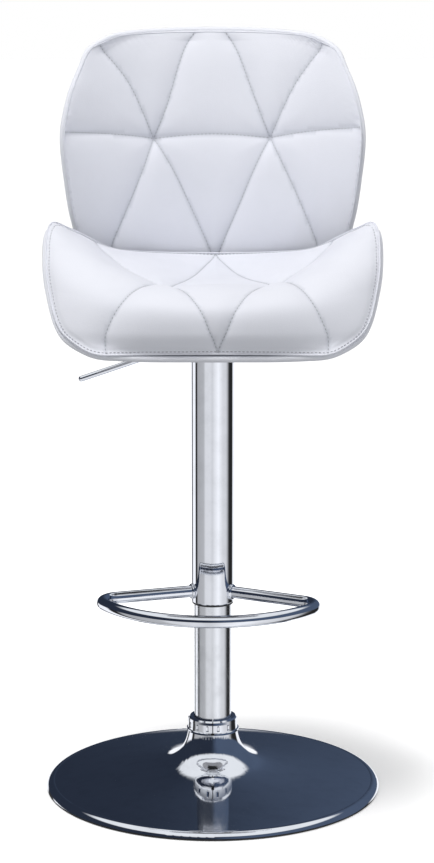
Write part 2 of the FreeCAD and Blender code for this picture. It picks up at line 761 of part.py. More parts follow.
# ---------------------------------------------------------------- build everything
def build():
    """Makes every node and writes it."""
    seat_shell = shell_solid(*SEAT_SHAPE)
    seat_shell = seat_shell.cut(tee_nut_solids(0.0) + screws(0, 0.05))
    back_shell = shell_solid(*BACK_SHAPE).cut(screws(1, 0.05))
    seat_pad = pad_solid(*SEAT_SHAPE, SEAT_PAD_MIDDLE, SEAT_PAD_CURVE).cut(tee_nut_solids(0.5))
    back_pad = pad_solid(*BACK_SHAPE, BACK_PAD_MIDDLE, BACK_PAD_CURVE)
    nodes = {
        "base_dish": base_dish(),
        "base_socket": base_socket(),
        "base_ballast": base_ballast(),
        "base_floor_ring": base_floor_ring(),
        "base_collar": base_collar(),
        "column_tube": column_tube(),
        "column_foot": column_foot(),
        "column_guide_bush": column_guide_bush(),
        "thrust_washer_lower": thrust_washer_lower(),
        "thrust_balls": thrust_balls(),
        "piston_rod": piston_rod(),
        "rod_clip": rod_clip(),
        "thrust_washer_upper": thrust_washer_upper(),
        "bump_stop": bump_stop(),
        "piston_head": piston_head(),
        "gas_cylinder": gas_cylinder(),
        "cylinder_gland": cylinder_gland(),
        "cover_tube": cover_tube(),
        "cover_cap": cover_cap(),
        "cover_bush": cover_bush(),
        "footrest_ring": footrest_ring(),
        "footrest_welds": footrest_welds(),
        "seat_plate": seat_plate(),
        "plate_hub": plate_hub(),
        "lever_ears": lever_ears(),
        "lever_pin": lever_pin(),
        "lever_rod": lever_rod(),
        "valve_button": valve_button(),
        "seat_bolts": seat_bolts(),
        "seat_washers": seat_washers(),
        "tee_nuts": tee_nuts(),
        "seat_shell": seat_shell,
        "back_shell": back_shell,
        "seat_pad": seat_pad,
        "back_pad": back_pad,
        "back_bracket_left": bracket(-1),
        "back_bracket_right": bracket(1),
        "seat_screws": Part.makeCompound(screws(0, 0.0)),
        "back_screws": Part.makeCompound(screws(1, 0.0)),
    }
    for node, shape in nodes.items():
        save(shape, node)


build()
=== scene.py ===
"""Looks of a height-adjustable swivel stool: quilted white seat and back on a chrome gas lift.

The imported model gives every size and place. This script dresses its metal parts, replaces
the plain pads and shells by quilted covers and wrapped shells, and sets up a small studio.
Lengths named *_MM and the shell stations are in millimetres, everything else is in metres.
"""
import json
import logging
import math
from dataclasses import dataclass, field
from enum import Enum

import bpy
import numpy as np
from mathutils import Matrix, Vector
from mathutils.bvhtree import BVHTree
from mathutils.geometry import delaunay_2d_cdt


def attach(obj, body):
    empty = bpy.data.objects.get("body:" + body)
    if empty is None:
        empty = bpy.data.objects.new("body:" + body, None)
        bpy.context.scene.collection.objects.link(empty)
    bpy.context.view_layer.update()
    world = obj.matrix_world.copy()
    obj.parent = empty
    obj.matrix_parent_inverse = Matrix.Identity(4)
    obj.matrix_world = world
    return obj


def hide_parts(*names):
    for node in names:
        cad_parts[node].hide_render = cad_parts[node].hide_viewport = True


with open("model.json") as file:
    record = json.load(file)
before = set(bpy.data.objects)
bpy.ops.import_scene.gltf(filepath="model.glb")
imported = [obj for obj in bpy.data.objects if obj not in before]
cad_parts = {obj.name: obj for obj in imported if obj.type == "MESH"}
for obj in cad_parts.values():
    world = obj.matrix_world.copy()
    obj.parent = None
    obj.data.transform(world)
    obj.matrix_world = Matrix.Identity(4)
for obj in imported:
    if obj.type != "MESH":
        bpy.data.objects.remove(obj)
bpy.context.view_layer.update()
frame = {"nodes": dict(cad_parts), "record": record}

LOG = logging.getLogger("stool")
MM = 0.001
Array = np.ndarray


# ------------------------------------------------------------------ mesh helpers
def mesh_object(name: str, points: Array, faces: list, smooth: bool = True) -> bpy.types.Object:
    """Makes a mesh object at the origin.

    Args:
        name: name of the piece.
        points: (n, 3) places in metres.
        faces: lists or an array of vertex indices, seen anticlockwise from outside.
        smooth: whether faces are shaded smooth.

    Returns:
        The new object, linked to the scene.
    """
    mesh = bpy.data.meshes.new(name)
    mesh.from_pydata(np.asarray(points, float).tolist(), [], [list(map(int, face)) for face in faces])
    mesh.polygons.foreach_set("use_smooth", np.full(len(mesh.polygons), smooth))
    mesh.update()
    piece = bpy.data.objects.new(name, mesh)
    bpy.context.scene.collection.objects.link(piece)
    return piece


def ring_faces(rings: int, around: int) -> Array:
    """Quads between closed rings of vertices.

    Args:
        rings: how many rings there are.
        around: vertices in each ring.

    Returns:
        (m, 4) indices; ring r holds vertices r*around to (r+1)*around-1.
    """
    r, a = np.meshgrid(np.arange(rings - 1), np.arange(around), indexing="ij")
    b = (a + 1) % around
    quads = [r * around + a, r * around + b, (r + 1) * around + b, (r + 1) * around + a]
    return np.stack(quads, -1).reshape(-1, 4)


def pole_faces(ring_start: int, around: int, pole: int, flip: bool) -> Array:
    """Triangles that close a ring on a pole vertex.

    Args:
        ring_start: index of the ring's first vertex.
        around: vertices in the ring.
        pole: index of the pole vertex.
        flip: whether the triangles turn the other way.

    Returns:
        (around, 3) indices.
    """
    a = ring_start + np.arange(around)
    b = ring_start + (np.arange(around) + 1) % around
    order = [b, a] if flip else [a, b]
    return np.stack([np.full(around, pole), *order], -1)


def ladder_faces(ring: Array) -> list:
    """Closes a ring with rungs between its two halves, so that no vertex gathers many edges.

    Args:
        ring: vertex indices round the ring, seen clockwise from outside.

    Returns:
        Two end triangles, or one, and the quads between them.
    """
    count = len(ring)
    faces = [(ring[1], ring[0], ring[count - 1])]
    near, far = 1, count - 1
    while near + 1 < far - 1:
        faces.append((ring[near + 1], ring[near], ring[far], ring[far - 1]))
        near, far = near + 1, far - 1
    if near + 1 == far - 1:
        faces.append((ring[near + 1], ring[near], ring[far]))
    return faces


def unit(vectors: Array) -> Array:
    """Vectors scaled to length 1."""
    return vectors / np.maximum(np.linalg.norm(vectors, axis=-1, keepdims=True), 1e-12)


def vertex_normals(points: Array, triangles: Array) -> Array:
    """Area-weighted vertex normals: the sum of the cross products of each corner's triangles.

    Args:
        points: (n, 3) places.
        triangles: (m, 3) indices.

    Returns:
        (n, 3) unit vectors.
    """
    a, b, c = (points[triangles[:, k]] for k in range(3))
    cross = np.cross(b - a, c - a)
    total = np.zeros_like(points)
    for k in range(3):
        np.add.at(total, triangles[:, k], cross)
    return unit(total)


def through(stations: Array, along: Array) -> Array:
    """Catmull-Rom curve through stations: cubics whose end slopes are half the neighbours' difference.

    Args:
        stations: (k, c) rows of values.
        along: places from 0, the first row, to 1, the last.

    Returns:
        Values with the shape of along plus one axis of c.
    """
    along = np.asarray(along, float)
    last = len(stations) - 1
    extended = np.vstack([2 * stations[0] - stations[1], stations, 2 * stations[-1] - stations[-2]])
    place = np.clip(along, 0, 1) * last
    index = np.minimum(place.astype(int), last - 1)
    t = (place - index)[..., None]
    p0, p1, p2, p3 = (extended[index + k] for k in range(4))
    slope_1 = (p2 - p0) / 2
    slope_2 = (p3 - p1) / 2
    a = 2 * p1 - 2 * p2 + slope_1 + slope_2
    b = 3 * p2 - 3 * p1 - 2 * slope_1 - slope_2
    return ((a * t + b) * t + slope_1) * t + p1


# ------------------------------------------------------------------ materials
class NodeSketch:
    """Small helper that adds and links shader nodes in one material or world."""

    def __init__(self, tree: bpy.types.NodeTree) -> None:
        """Starts from an empty node tree."""
        self.tree = tree
        tree.nodes.clear()

    def add(self, kind: str, inputs: dict | None = None, **settings) -> bpy.types.Node:
        """Adds a node.

        Args:
            kind: Blender's node type.
            inputs: socket name or number to a value or to another node's output socket.
            settings: attributes of the node itself.

        Returns:
            The node.
        """
        node = self.tree.nodes.new(kind)
        for key, value in settings.items():
            setattr(node, key, value)
        for key, value in (inputs or {}).items():
            if isinstance(value, bpy.types.NodeSocket):
                self.tree.links.new(value, node.inputs[key])
            else:
                node.inputs[key].default_value = value
        return node

    def math(self, operation: str, *values) -> bpy.types.NodeSocket:
        """Result of a Math node on numbers or sockets."""
        node = self.add("ShaderNodeMath", dict(enumerate(values)), operation=operation)
        return node.outputs[0]

    def smooth(self, value, low: float, high: float, start: float = 0.0, end: float = 1.0):
        """Value mapped from low..high to start..end by a smoothstep."""
        node = self.add(
            "ShaderNodeMapRange",
            {"Value": value, "From Min": low, "From Max": high, "To Min": start, "To Max": end},
            interpolation_type="SMOOTHSTEP",
        )
        return node.outputs[0]

    def between(self, factor, first: tuple, second: tuple) -> bpy.types.NodeSocket:
        """Colour mixed from two colours by a factor socket."""
        node = self.add("ShaderNodeMix", {"Factor": factor}, data_type="RGBA")
        for socket, value in ((node.inputs[6], first), (node.inputs[7], second)):
            if isinstance(value, bpy.types.NodeSocket):
                self.tree.links.new(value, socket)
            else:
                socket.default_value = (*value, 1.0)
        return node.outputs[2]

    def noise(self, place, scale: float, detail: float = 3.0, roughness: float = 0.5):
        """Factor of a noise texture."""
        inputs = {"Vector": place, "Scale": scale, "Detail": detail, "Roughness": roughness}
        return self.add("ShaderNodeTexNoise", inputs).outputs[0]

    def stretched(self, place, scale: tuple) -> bpy.types.NodeSocket:
        """Object coordinates scaled by axis, for a grain that runs along one of them."""
        return self.add("ShaderNodeMapping", {"Vector": place, "Scale": scale}).outputs[0]


class FinishKind(Enum):
    """The ways in which a plain surface of this stool is finished."""

    POLISHED = "polished"
    SATIN = "satin"
    GROUND = "ground"
    POWDER = "powder"
    MOULDED = "moulded"
    RUBBER = "rubber"


@dataclass(frozen=True)
class Leather:
    """Smooth faux leather: fine pebble grain, slight sheen, and painted shade that greys the colour down in
    the seams.

    The grain is cells of about a millimetre plus fine noise; broad soft noise tones the
    colour and the gloss. The float attribute "seam" is 1 on a seam and fades beside it;
    there it mixes in the darker seam colour as painted shade in the seam creases.
    """

    name: str
    colour: tuple
    # darker colour painted into the seam creases as shade
    painted_seam_shade: tuple
    roughness: float = 0.42
    grain: float = 0.16

    def make(self) -> bpy.types.Material:
        """Builds the material."""
        material = bpy.data.materials.new(self.name)
        material.use_nodes = True
        sketch = NodeSketch(material.node_tree)
        place = sketch.add("ShaderNodeTexCoord").outputs["Object"]
        seam = sketch.add("ShaderNodeAttribute", attribute_name="seam").outputs["Fac"]
        cells = sketch.add(
            "ShaderNodeTexVoronoi",
            {"Vector": place, "Scale": 720.0, "Smoothness": 0.6, "Randomness": 0.9},
            feature="SMOOTH_F1",
        ).outputs["Distance"]
        fine = sketch.noise(place, 2600.0, 2.0)
        broad = sketch.noise(place, 14.0, 4.0, 0.6)
        creases = sketch.noise(sketch.stretched(place, (1.0, 1.0, 0.6)), 90.0, 5.0, 0.55)
        tone = sketch.math("MULTIPLY_ADD", sketch.smooth(broad, 0.35, 0.7), 0.10, -0.02)
        # painted shade: near a seam the colour is mixed towards the darker seam colour, standing in for the
        # shade in the seam creases; the broad tone on top is random
        tone_and_seam_shade = sketch.math("ADD", tone, sketch.math("MULTIPLY", seam, 0.85))
        colour = sketch.between(tone_and_seam_shade, self.colour, self.painted_seam_shade)
        gloss = sketch.math("MULTIPLY_ADD", sketch.smooth(broad, 0.3, 0.75), 0.10, self.roughness - 0.04)
        gloss = sketch.math("ADD", gloss, sketch.math("MULTIPLY", seam, 0.12))
        relief = sketch.math("MULTIPLY_ADD", creases, 1.4, sketch.math("MULTIPLY_ADD", fine, 0.12, cells))
        bump = sketch.add("ShaderNodeBump", {"Strength": self.grain, "Distance": 0.0006, "Height": relief})
        shader = sketch.add(
            "ShaderNodeBsdfPrincipled",
            {
                "Base Color": colour,
                "Roughness": gloss,
                "Normal": bump.outputs[0],
                "IOR": 1.47,
                "Sheen Weight": 0.06,
                "Sheen Roughness": 0.4,
            },
        )
        sketch.add("ShaderNodeOutputMaterial", {"Surface": shader.outputs[0]})
        return material


@dataclass(frozen=True)
class Thread:
    """Sewing thread: fine noise that shades its fibres."""

    name: str
    colour: tuple

    def make(self) -> bpy.types.Material:
        """Builds the material."""
        material = bpy.data.materials.new(self.name)
        material.use_nodes = True
        sketch = NodeSketch(material.node_tree)
        place = sketch.add("ShaderNodeTexCoord").outputs["Object"]
        twist = sketch.noise(place, 2200.0, 2.0)
        shaded = tuple(0.8 * part for part in self.colour)
        colour = sketch.between(sketch.smooth(twist, 0.35, 0.65), self.colour, shaded)
        bump = sketch.add("ShaderNodeBump", {"Strength": 0.4, "Distance": 0.0002, "Height": twist})
        shader = sketch.add(
            "ShaderNodeBsdfPrincipled",
            {"Base Color": colour, "Roughness": 0.6, "Normal": bump.outputs[0], "Sheen Weight": 0.3},
        )
        sketch.add("ShaderNodeOutputMaterial", {"Surface": shader.outputs[0]})
        return material


@dataclass(frozen=True)
class Hardware:
    """A hard surface of the stool: plated, ground or coated metal, plastic or rubber.

    Every kind has its own fine relief and a roughness that drifts with soft noise, so that
    no surface is perfectly even.
    """

    name: str
    kind: FinishKind
    colour: tuple
    roughness: float

    @property
    def metallic(self) -> float:
        """1 for bare or plated metal, 0 for a coat, plastic or rubber."""
        return 1.0 if self.kind in (FinishKind.POLISHED, FinishKind.SATIN, FinishKind.GROUND) else 0.0

    def relief(self, sketch: NodeSketch, place) -> tuple:
        """Height of the fine relief and its depth.

        Args:
            sketch: the material's node sketch.
            place: object coordinates.

        Returns:
            The height socket, the bump's strength and its distance in metres.
        """
        if self.kind is FinishKind.POLISHED:
            return sketch.noise(place, 18.0, 2.0), 0.05, 0.0008
        if self.kind is FinishKind.SATIN:
            return sketch.noise(sketch.stretched(place, (1.0, 1.0, 14.0)), 160.0, 4.0), 0.02, 0.0004
        if self.kind is FinishKind.GROUND:
            return sketch.noise(sketch.stretched(place, (1.0, 1.0, 24.0)), 200.0, 4.0), 0.12, 0.0003
        if self.kind is FinishKind.POWDER:
            return sketch.noise(place, 900.0, 3.0), 0.35, 0.0005
        if self.kind is FinishKind.MOULDED:
            return sketch.noise(place, 1400.0, 2.0), 0.2, 0.0003
        return sketch.noise(place, 500.0, 4.0), 0.4, 0.0005

    def make(self) -> bpy.types.Material:
        """Builds the material."""
        material = bpy.data.materials.new(self.name)
        material.use_nodes = True
        sketch = NodeSketch(material.node_tree)
        place = sketch.add("ShaderNodeTexCoord").outputs["Object"]
        height, strength, distance = self.relief(sketch, place)
        wear = sketch.smooth(sketch.noise(place, 36.0, 5.0, 0.6), 0.4, 0.75)
        spread = 0.35 * self.roughness + 0.01
        rough = sketch.math("MULTIPLY_ADD", wear, spread, self.roughness - 0.4 * spread)
        colour = sketch.between(wear, self.colour, tuple(0.92 * c for c in self.colour))
        bump = sketch.add("ShaderNodeBump", {"Strength": strength, "Distance": distance, "Height": height})
        shader = sketch.add(
            "ShaderNodeBsdfPrincipled",
            {"Base Color": colour, "Roughness": rough, "Metallic": self.metallic, "Normal": bump.outputs[0]},
        )
        sketch.add("ShaderNodeOutputMaterial", {"Surface": shader.outputs[0]})
        return material


# ------------------------------------------------------------------ bent shells
@dataclass(frozen=True)
class BentShell:
    """Bent plywood shell, given by stations from its lower or front edge to its far edge.

    Each station holds the middle's y and z, then the rim's y, z and half-width. Across a
    station the shell is flat for a share of its half-width, then rises as a power to the rim.
    A place on it is (across, along), with across from -1 to 1 and along from 0 to 1.
    """

    stations: tuple
    flat: float
    power: float
    thickness: float = 8.0

    def outer(self, across: Array, along: Array) -> Array:
        """Outer surface in millimetres: middle + (rim - middle) * rise(across)."""
        mid_y, mid_z, rim_y, rim_z, half = np.moveaxis(through(np.array(self.stations, float), along), -1, 0)
        share = (np.maximum(0.0, np.abs(across) - self.flat) / (1 - self.flat)) ** self.power
        return np.stack([half * across, mid_y + (rim_y - mid_y) * share, mid_z + (rim_z - mid_z) * share], -1)

    def normal(self, across: Array, along: Array) -> Array:
        """Unit normal towards the sitter: the cross product of the two small steps."""
        step = 0.004
        right = self.outer(np.minimum(1, across + step), along)
        left = self.outer(np.maximum(-1, across - step), along)
        ahead = self.outer(across, np.minimum(1, along + step))
        behind = self.outer(across, np.maximum(0, along - step))
        return unit(np.cross(right - left, ahead - behind))

    def lifted(self, across: Array, along: Array, distance) -> Array:
        """Outer surface moved towards the sitter by a distance in millimetres."""
        return self.outer(across, along) + self.normal(across, along) * distance


@dataclass(frozen=True)
class Outline:
    """Rim of a shell or pad in (across, along): a square with rounded corners.

    The square's own coordinates are a = across and b = 2 * along - 1, and the rim is the
    superellipse |a|^n + |b|^n = 1.
    """

    sharpness: float = 20.0

    def reach(self, a: Array, b: Array) -> Array:
        """How far out a place is: 0 in the middle, 1 on the rim."""
        return (np.abs(a) ** self.sharpness + np.abs(b) ** self.sharpness) ** (1 / self.sharpness)

    def loop(self, count: int, chart: tuple) -> Array:
        """Rim points evenly spaced by length.

        Args:
            count: how many points.
            chart: half-lengths in millimetres of the a and b axes.

        Returns:
            (count, 2) places a, b, anticlockwise.
        """
        angle = np.linspace(0, 2 * np.pi, 4001)
        a, b = np.cos(angle), np.sin(angle)
        rim = np.stack([a, b], -1) / self.reach(a, b)[:, None]
        length = np.concatenate([[0], np.cumsum(np.linalg.norm(np.diff(rim * chart, axis=0), axis=1))])
        at = np.linspace(0, length[-1], count, endpoint=False)
        return np.stack([np.interp(at, length, rim[:, k]) for k in range(2)], -1)


@dataclass
class WrappedShell:
    """Shell wrapped in leather: its two faces joined by a round edge."""

    name: str
    node: str
    shell: BentShell
    outline: Outline = field(default_factory=Outline)
    chart: tuple = (250.0, 215.0)
    around: int = 360
    rings: int = 26
    edge_steps: int = 8

    def build(self) -> bpy.types.Object:
        """Makes the closed shell.

        From a pole in the middle, rings run out over the outer face to the rim, round the
        edge by half a circle of the shell's thickness, and back over the inner face.

        Returns:
            The new object.
        """
        rim = self.outline.loop(self.around, self.chart)
        radius = self.shell.thickness / 2
        share = np.sin(np.linspace(0.06, 1, self.rings) * np.pi / 2)
        inset = 1 - (radius + 0.2) / self.chart[0]

        def face(scale: float, height: float) -> Array:
            a, b = rim[:, 0] * scale * inset, rim[:, 1] * scale * inset
            return self.shell.lifted(a, (b + 1) / 2, height)

        outer = [face(s, 0.0) for s in share]
        inner = [face(s, self.shell.thickness) for s in share[::-1]]
        middle = face(1.0, radius)
        outward = unit(middle - face(0.99, radius))
        normal = self.shell.normal(rim[:, 0] * inset, (rim[:, 1] * inset + 1) / 2)
        turn = np.linspace(0, np.pi, self.edge_steps + 2)[1:-1]
        edge = [middle + radius * (math.sin(t) * outward - math.cos(t) * normal) for t in turn]
        rings = outer + edge + inner
        poles = [face(0.0, 0.0)[:1], face(0.0, self.shell.thickness)[:1]]
        points = np.concatenate(rings + poles) * MM
        count = len(rings) * self.around
        faces = [tuple(q) for q in ring_faces(len(rings), self.around)]
        faces += [tuple(t) for t in pole_faces(0, self.around, count, True)]
        faces += [tuple(t) for t in pole_faces(count - self.around, self.around, count + 1, False)]
        return mesh_object(self.name, points, faces)


# ------------------------------------------------------------------ quilted pads
@dataclass(frozen=True)
class ClothFeel:
    """How the cover behaves while it is puffed up between its seams."""

    pressure: float = 5.0
    slack: float = 0.0
    tension: float = 18.0
    bending: float = 6.0
    frames: int = 20
    cap_mm: float = 7.0
    smoothing: int = 14


@dataclass(frozen=True)
class Valley:
    """Depth of the cover beside a seam, round a tuft and along the stitched edge, in millimetres.

    Beside a seam the depth is depth * exp(-distance / width), and a tuft adds its own term of
    the same form, so the cover meets every seam in a crease and stands full between them.
    """

    depth: float = 6.0
    width: float = 13.0
    tuft_depth: float = 13.0
    tuft_width: float = 18.0
    rim_depth: float = 2.0
    rim_width: float = 7.0
    edge_depth: float = 0.9
    edge_inset: float = 6.0
    edge_width: float = 3.0
    rim_fade: float = 12.0


@dataclass(frozen=True)
class Folds:
    """Small folds of the leather, in millimetres: gathers across the rim and rays at a tuft."""

    gather_depth: float = 1.1
    gather_pitch: float = 8.5
    gather_length: float = 34.0
    gather_width: float = 9.0
    gather_reach: float = 90.0
    ray_depth: float = 0.8
    ray_length: float = 13.0
    ray_start: float = 6.0


@dataclass
class QuiltedPad:
    """Foam pad with a quilted cover on a bent shell.

    The cover's middle line runs from the front or lower edge to the far edge; across it the
    cover rises as a power to its rim, which stands edge_mm off the shell's inner face.
    """

    name: str
    node: str
    shell: BentShell
    middle: tuple
    power: float
    tufts: tuple
    seams: tuple
    gathers: tuple
    valley: Valley = field(default_factory=Valley)
    folds: Folds = field(default_factory=Folds)
    feel: ClothFeel = field(default_factory=ClothFeel)
    outline: Outline = field(default_factory=Outline)
    chart: tuple = (255.0, 212.0)
    spacing_mm: float = 4.4
    edge_mm: float = 11.4
    back_mm: float = 8.5
    uv: Array = None
    triangles: Array = None
    rim_indices: Array = None
    seam_paths: list = field(default_factory=list)
    seam_edges: Array = None
    surface: Array = None

    def front(self, a: Array, b: Array) -> Array:
        """Plain front of the pad: middle + (rim - middle) * |across|^power, in millimetres."""
        along = (b + 1) / 2
        mid_y, mid_z = np.moveaxis(through(np.array(self.middle, float), along), -1, 0)
        rim = self.shell.lifted(np.ones_like(along), along, self.edge_mm)
        share = np.abs(a) ** self.power
        return np.stack([rim[..., 0] * a, mid_y + (rim[..., 1] - mid_y) * share,
                         mid_z + (rim[..., 2] - mid_z) * share], -1)

    def seam_line(self, seam: tuple) -> Array:
        """Points of one seam, evenly spaced on a smooth curve through its places.

        An end that lies on the pad's border is moved straight out or in to the rim.
        """
        places = np.array(seam, float)
        places[:, 1] = 2 * places[:, 1] - 1
        for end in (0, -1):
            reach = self.outline.reach(*places[end])
            if reach > 0.97:
                places[end] /= reach
        dense = through(places, np.linspace(0, 1, 400))
        length = np.concatenate([[0], np.cumsum(np.linalg.norm(np.diff(dense * self.chart, axis=0), axis=1))])
        count = max(3, int(round(length[-1] / self.spacing_mm)) + 1)
        at = np.linspace(0, length[-1], count)
        return np.stack([np.interp(at, length, dense[:, k]) for k in range(2)], -1)

    def triangulate(self) -> None:
        """Meshes the cover so that every seam and the rim are rows of edges.

        A triangular lattice fills the outline; lattice points closer than half a step to a
        seam or the rim are left out, and a constrained Delaunay triangulation joins the rest.
        """
        chart = np.array(self.chart)
        lines = [self.seam_line(seam) for seam in self.seams]
        ends = np.array([p for line in lines for p in (line[0], line[-1]) if self.outline.reach(*p) > 0.999])
        count = int(round(4 * (chart.sum()) / self.spacing_mm))
        rim = self.outline.loop(count, self.chart)
        gap = np.linalg.norm((rim[:, None] - ends[None]) * chart, axis=-1).min(1)
        rim = np.concatenate([rim[gap > 0.6 * self.spacing_mm], np.unique(np.round(ends, 9), axis=0)])
        rim = rim[np.argsort(np.arctan2(rim[:, 1], rim[:, 0]))]
        step = self.spacing_mm / chart
        rows = np.arange(-1, 1, step[1] * math.sqrt(0.75))
        columns = np.arange(-1, 1, step[0])
        b, a = np.meshgrid(rows, columns, indexing="ij")
        a = a + (np.arange(len(rows)) % 2)[:, None] * step[0] / 2
        lattice = np.stack([a.ravel(), b.ravel()], -1)
        fixed = np.concatenate([rim] + lines)
        nearest = np.full(len(lattice), np.inf)
        for chunk in np.array_split(np.arange(len(fixed)), 12):
            away = np.linalg.norm((lattice[:, None] - fixed[None, chunk]) * chart, axis=-1).min(1)
            nearest = np.minimum(nearest, away)
        inside = self.outline.reach(lattice[:, 0], lattice[:, 1]) < 1 - 0.4 * step[0]
        lattice = lattice[inside & (nearest > 0.62 * self.spacing_mm)]
        places = np.concatenate([fixed, lattice]) * chart
        edges = [(k, (k + 1) % len(rim)) for k in range(len(rim))]
        first = len(rim)
        seam_first = len(edges)
        for line in lines:
            edges += [(first + k, first + k + 1) for k in range(len(line) - 1)]
            first += len(line)
        result = delaunay_2d_cdt([Vector(p) for p in places], edges, [], 1, 1e-4)
        self.uv = np.array([tuple(p) for p in result[0]]) / chart
        self.triangles = np.array(result[2])
        kept = {old: new for new, olds in enumerate(result[3]) for old in olds}
        self.rim_indices = np.array([kept[k] for k in range(len(rim))])
        first = len(rim)
        for line in lines:
            self.seam_paths.append(np.array([kept[first + k] for k in range(len(line))]))
            first += len(line)
        wanted = [edge for edge, olds in zip(result[1], result[4]) if any(o >= seam_first for o in olds)]
        self.seam_edges = np.array(wanted)

    def seam_distance(self, plain: Array) -> tuple:
        """Distances in millimetres to the nearest seam, tuft and rim, for every vertex."""
        seam_points = plain[np.unique(np.concatenate(self.seam_paths))]
        rim_points = plain[self.rim_indices]
        tufts = np.array(self.tufts, float)
        tuft_points = self.front(tufts[:, 0], 2 * tufts[:, 1] - 1)
        distances = []
        for targets in (seam_points, tuft_points, rim_points):
            nearest = np.full(len(plain), np.inf)
            for chunk in np.array_split(targets, max(1, len(targets) // 60)):
                nearest = np.minimum(nearest, np.linalg.norm(plain[:, None] - chunk[None], axis=-1).min(1))
            distances.append(nearest)
        return tuple(distances)

    def sunk(self) -> Array:
        """Front of the pad drawn in along its seams, round its tufts and at its rim."""
        plain = self.front(self.uv[:, 0], self.uv[:, 1])
        normal = vertex_normals(plain, self.triangles)
        seam, tuft, rim = self.seam_distance(plain)
        v = self.valley
        depth = v.depth * np.exp(-seam / v.width) * np.clip(rim / v.rim_fade, 0, 1)
        depth += v.tuft_depth * np.exp(-tuft / v.tuft_width)
        depth += v.rim_depth * (np.exp(-rim / v.rim_width) - 1)
        depth += v.edge_depth * np.exp(-(((rim - v.edge_inset) / v.edge_width) ** 2))
        depth += self.pucker_depth(plain, rim) + self.tuft_folds(plain)
        return plain - normal * depth[:, None]

    def pucker_depth(self, plain: Array, rim: Array) -> Array:
        """Short folds across the rim where the leather is gathered round a tight corner.

        Round each gathered place the depth is a cosine along the rim, fading with the
        distance from the place and from the rim.
        """
        depth = np.zeros(len(plain))
        f = self.folds
        for across, along in self.gathers:
            place = self.front(np.array([across]), np.array([2 * along - 1.0]))
            ahead = self.front(np.array([across]), np.array([2 * along - 0.96]))
            run = unit(ahead - place)[0]
            offset = plain - place
            way = offset @ run
            near = np.linalg.norm(offset, axis=1) < f.gather_reach
            fade = np.exp(-((way / f.gather_length) ** 2)) * np.exp(-rim / f.gather_width) * near
            uneven = 0.9 * np.sin(way / 5)
            depth += f.gather_depth * fade * np.cos(2 * np.pi * way / f.gather_pitch + uneven)
        return depth

    def tuft_folds(self, plain: Array) -> Array:
        """Small folds that run out from each tuft: a cosine of the angle, fading outwards."""
        depth = np.zeros(len(plain))
        f = self.folds
        for across, along in self.tufts:
            place = self.front(np.array([across]), np.array([2 * along - 1.0]))
            offset = plain - place
            away = np.linalg.norm(offset, axis=1)
            rise = offset[:, 1] - offset[:, 2] if self.name.startswith("seat") else offset[:, 2]
            angle = np.arctan2(rise, offset[:, 0])
            rays = np.cos(11 * angle) + 0.6 * np.cos(7 * angle + 1.3)
            fade = np.exp(-away / f.ray_length) * np.clip(away / f.ray_start, 0, 1)
            depth += f.ray_depth * rays * fade
        return depth

    def puff(self, start: Array) -> Array:
        """Settles the cover between its pinned seams with a short, stiff cloth simulation.

        Args:
            start: (n, 3) places in millimetres.

        Returns:
            (n, 3) places after the simulation, moved by at most the cap.
        """
        piece = mesh_object(self.name + "_cloth", start * MM, self.triangles)
        pinned = piece.vertex_groups.new(name="pinned")
        held = np.unique(np.concatenate(self.seam_paths + [self.rim_indices]))
        pinned.add(held.tolist(), 1.0, "REPLACE")
        cloth = piece.modifiers.new("puff", "CLOTH")
        settings = cloth.settings
        settings.quality = 6
        settings.mass = 0.25
        settings.air_damping = 4.0
        settings.tension_stiffness = self.feel.tension
        settings.compression_stiffness = self.feel.tension
        settings.shear_stiffness = 6.0
        settings.bending_stiffness = self.feel.bending
        settings.vertex_group_mass = "pinned"
        settings.pin_stiffness = 50.0
        settings.shrink_min = -self.feel.slack
        settings.use_pressure = True
        settings.uniform_pressure_force = self.feel.pressure
        settings.effector_weights.gravity = 0.0
        cloth.collision_settings.use_collision = False
        cloth.point_cache.frame_start = 1
        cloth.point_cache.frame_end = self.feel.frames
        scene = bpy.context.scene
        for number in range(1, self.feel.frames + 1):
            scene.frame_set(number)
        shaped = piece.evaluated_get(bpy.context.evaluated_depsgraph_get()).to_mesh()
        moved = np.empty(len(shaped.vertices) * 3, np.float32)
        shaped.vertices.foreach_get("co", moved)
        mesh = piece.data
        bpy.data.objects.remove(piece)
        bpy.data.meshes.remove(mesh)
        scene.frame_set(1)
        step = self.calmed(moved.reshape(-1, 3).astype(float) / MM - start, held)
        size = np.linalg.norm(step, axis=1, keepdims=True)
        LOG.info("%s: cloth moved up to %.1f mm, mean %.1f mm", self.name, size.max(), size.mean())
        return start + step * np.minimum(1, self.feel.cap_mm / np.maximum(size, 1e-9))

    def calmed(self, step: Array, held: Array) -> Array:
        """Averages each free vertex's movement with its neighbours', a few times over.

        Args:
            step: (n, 3) movements in millimetres.
            held: indices of the pinned vertices.

        Returns:
            (n, 3) movements without the finest wrinkles.
        """
        first = self.triangles.ravel()
        second = np.roll(self.triangles, -1, axis=1).ravel()
        count = np.bincount(first, minlength=len(step)) + np.bincount(second, minlength=len(step))
        for _ in range(self.feel.smoothing):
            total = np.zeros_like(step)
            np.add.at(total, first, step[second])
            np.add.at(total, second, step[first])
            step = 0.4 * step + 0.6 * total / count[:, None]
            step[held] = 0
        return step

